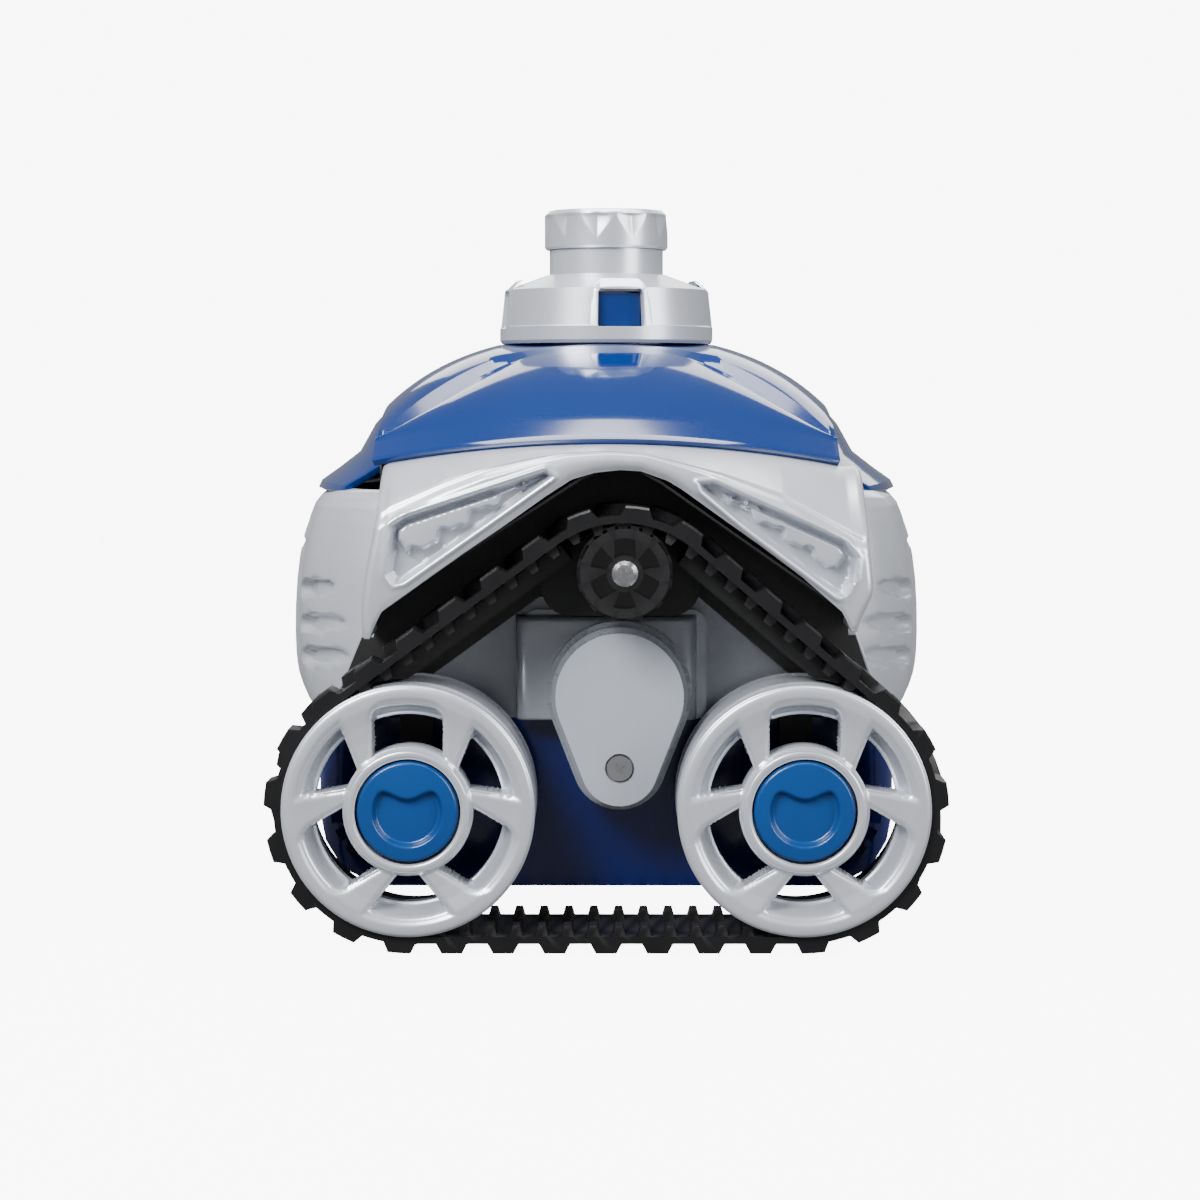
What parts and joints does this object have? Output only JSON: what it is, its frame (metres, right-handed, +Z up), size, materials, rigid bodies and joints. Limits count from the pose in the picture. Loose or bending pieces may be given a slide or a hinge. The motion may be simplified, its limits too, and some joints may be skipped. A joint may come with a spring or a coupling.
{
  "type": "tracked pool cleaner",
  "caption": "Tracked suction pool cleaner: domed body, side fenders, triangular rubber tracks on spoked wheels, turbine drive, floor brushes and a swivelling hose connector.",
  "frame": {"origin": "on the ground, midway between the two tracks and between the wheel axles", "axes": "+X along the tracks towards the rear of the machine, +Y from the left track to the right track, +Z up along the hose connector; the end at -X is taken as the front, so the names left and right are as a driver facing -X would say them"},
  "size_m": [0.282, 0.3606, 0.31],
  "materials": {
    "silver_plastic": "satin",
    "blue_gloss": "gloss",
    "navy_gloss": "gloss",
    "housing_grey": "gloss",
    "cover_grey": "satin",
    "black_gloss": "gloss",
    "black_plastic": "satin",
    "track_rubber": "matte",
    "cap_blue": "gloss",
    "brush_rubber": "matte",
    "seal_rubber": "matte",
    "gear_plastic": "satin",
    "vane_plastic": "satin",
    "stainless": "brushed"
  },
  "bodies": {
    "body": {"lower_chassis": "navy_gloss", "intake_plate": "black_plastic", "turbine_housing": "housing_grey", "outlet_duct": "housing_grey", "hood": "blue_gloss", "left_fender": "silver_plastic", "right_fender": "silver_plastic", "left_arch_liner": "black_plastic", "right_arch_liner": "black_plastic", "rear_cover": "silver_plastic", "front_cover": "silver_plastic", "swivel_base": "blue_gloss", "swivel_cap": "silver_plastic", "swivel_seal": "seal_rubber", "left_gearcase": "housing_grey", "right_gearcase": "housing_grey", "left_gear_cover": "cover_grey", "right_gear_cover": "cover_grey", "left_track_frame": "black_plastic", "right_track_frame": "black_plastic", "wheel_axles": "stainless", "rear_left_axle_cap": "cap_blue", "front_left_axle_cap": "cap_blue", "rear_right_axle_cap": "cap_blue", "front_right_axle_cap": "cap_blue", "left_track": "track_rubber", "right_track": "track_rubber", "gear_pins": "stainless", "gear_cover_screws": "stainless", "chassis_screws": "stainless", "turbine_bearings": "stainless", "brush_belt": "track_rubber"},
    "turbine": {"turbine_shaft": "stainless", "turbine_rotor": "vane_plastic", "turbine_gears": "gear_plastic"},
    "vane_1": {"turbine_vane_1": "vane_plastic"},
    "vane_2": {"turbine_vane_2": "vane_plastic"},
    "vane_3": {"turbine_vane_3": "vane_plastic"},
    "vane_4": {"turbine_vane_4": "vane_plastic"},
    "vane_5": {"turbine_vane_5": "vane_plastic"},
    "vane_6": {"turbine_vane_6": "vane_plastic"},
    "left_sprocket_drive": {"left_sprocket": "black_gloss", "left_sprocket_screw": "stainless", "left_drive_shaft": "stainless"},
    "left_idler": {"left_idler_gear": "gear_plastic"},
    "left_timer": {"left_timer_gear": "gear_plastic"},
    "front_left_wheel_turn": {"front_left_wheel": "silver_plastic"},
    "rear_left_wheel_turn": {"rear_left_wheel": "silver_plastic"},
    "right_sprocket_drive": {"right_sprocket": "black_gloss", "right_sprocket_screw": "stainless", "right_drive_shaft": "stainless"},
    "right_idler": {"right_idler_gear": "gear_plastic"},
    "right_timer": {"right_timer_gear": "gear_plastic"},
    "front_right_wheel_turn": {"front_right_wheel": "silver_plastic"},
    "rear_right_wheel_turn": {"rear_right_wheel": "silver_plastic"},
    "front_brush_roller": {"front_brush": "brush_rubber"},
    "rear_brush_roller": {"rear_brush": "brush_rubber"},
    "hose_connector": {"swivel_neck": "silver_plastic", "twist_ring": "silver_plastic"}
  },
  "joints": [
    {"name": "turbine_spin", "type": "hinge", "parent": "body", "child": "turbine", "pos_m": [0.0055, 0, 0.102], "axis": [0, 1, 0], "continuous": true},
    {"name": "vane_1_hinge", "type": "hinge", "parent": "turbine", "child": "vane_1", "pos_m": [0.0055, 0, 0.117], "axis": [0, 1, 0], "range_deg": [0, 30]},
    {"name": "vane_2_hinge", "type": "hinge", "parent": "turbine", "child": "vane_2", "pos_m": [-0.00749, 0, 0.1095], "axis": [0, 1, 0], "range_deg": [0, 30]},
    {"name": "vane_3_hinge", "type": "hinge", "parent": "turbine", "child": "vane_3", "pos_m": [-0.00749, 0, 0.0945], "axis": [0, 1, 0], "range_deg": [0, 30]},
    {"name": "vane_4_hinge", "type": "hinge", "parent": "turbine", "child": "vane_4", "pos_m": [0.0055, 0, 0.087], "axis": [0, 1, 0], "range_deg": [0, 30]},
    {"name": "vane_5_hinge", "type": "hinge", "parent": "turbine", "child": "vane_5", "pos_m": [0.01849, 0, 0.0945], "axis": [0, 1, 0], "range_deg": [0, 30]},
    {"name": "vane_6_hinge", "type": "hinge", "parent": "turbine", "child": "vane_6", "pos_m": [0.01849, 0, 0.1095], "axis": [0, 1, 0], "range_deg": [0, 30]},
    {"name": "left_sprocket_spin", "type": "hinge", "parent": "body", "child": "left_sprocket_drive", "pos_m": [0.0075, -0.15, 0.1545], "axis": [0, 1, 0], "continuous": true, "deforming": ["left_track"]},
    {"name": "left_idler_spin", "type": "hinge", "parent": "body", "child": "left_idler", "pos_m": [0.00026, -0.106, 0.12849], "axis": [0, 1, 0], "continuous": true},
    {"name": "left_timer_spin", "type": "hinge", "parent": "body", "child": "left_timer", "pos_m": [0.0055, -0.132, 0.07275], "axis": [0, 1, 0], "continuous": true},
    {"name": "front_left_wheel_spin", "type": "hinge", "parent": "body", "child": "front_left_wheel_turn", "pos_m": [-0.08, -0.15, 0.0585], "axis": [0, 1, 0], "continuous": true},
    {"name": "rear_left_wheel_spin", "type": "hinge", "parent": "body", "child": "rear_left_wheel_turn", "pos_m": [0.08, -0.15, 0.0585], "axis": [0, 1, 0], "continuous": true},
    {"name": "right_sprocket_spin", "type": "hinge", "parent": "body", "child": "right_sprocket_drive", "pos_m": [0.0075, 0.15, 0.1545], "axis": [0, 1, 0], "continuous": true, "deforming": ["right_track"]},
    {"name": "right_idler_spin", "type": "hinge", "parent": "body", "child": "right_idler", "pos_m": [0.00026, 0.106, 0.12849], "axis": [0, 1, 0], "continuous": true},
    {"name": "right_timer_spin", "type": "hinge", "parent": "body", "child": "right_timer", "pos_m": [0.0055, 0.132, 0.07275], "axis": [0, 1, 0], "continuous": true},
    {"name": "front_right_wheel_spin", "type": "hinge", "parent": "body", "child": "front_right_wheel_turn", "pos_m": [-0.08, 0.15, 0.0585], "axis": [0, 1, 0], "continuous": true},
    {"name": "rear_right_wheel_spin", "type": "hinge", "parent": "body", "child": "rear_right_wheel_turn", "pos_m": [0.08, 0.15, 0.0585], "axis": [0, 1, 0], "continuous": true},
    {"name": "front_brush_spin", "type": "hinge", "parent": "body", "child": "front_brush_roller", "pos_m": [-0.062, 0, 0.032], "axis": [0, 1, 0], "continuous": true, "deforming": ["brush_belt"]},
    {"name": "rear_brush_spin", "type": "hinge", "parent": "body", "child": "rear_brush_roller", "pos_m": [0.062, 0, 0.032], "axis": [0, 1, 0], "continuous": true},
    {"name": "hose_swivel", "type": "hinge", "parent": "body", "child": "hose_connector", "pos_m": [0, 0, 0.27], "axis": [0, 0, 1], "continuous": true}
  ],
  "couplings": [
    {"joint": "left_sprocket_spin", "follows": "turbine_spin", "ratio": 0.14793},
    {"joint": "left_idler_spin", "follows": "turbine_spin", "ratio": -0.38461},
    {"joint": "left_timer_spin", "follows": "turbine_spin", "ratio": -1.4375},
    {"joint": "front_left_wheel_spin", "follows": "turbine_spin", "ratio": 0.05725},
    {"joint": "rear_left_wheel_spin", "follows": "turbine_spin", "ratio": 0.05725},
    {"joint": "right_sprocket_spin", "follows": "turbine_spin", "ratio": 0.14793},
    {"joint": "right_idler_spin", "follows": "turbine_spin", "ratio": -0.38461},
    {"joint": "right_timer_spin", "follows": "turbine_spin", "ratio": -1.4375},
    {"joint": "front_right_wheel_spin", "follows": "turbine_spin", "ratio": 0.05725},
    {"joint": "rear_right_wheel_spin", "follows": "turbine_spin", "ratio": 0.05725},
    {"joint": "front_brush_spin", "follows": "turbine_spin", "ratio": 1.1765},
    {"joint": "rear_brush_spin", "follows": "turbine_spin", "ratio": 1.1765}
  ]
}
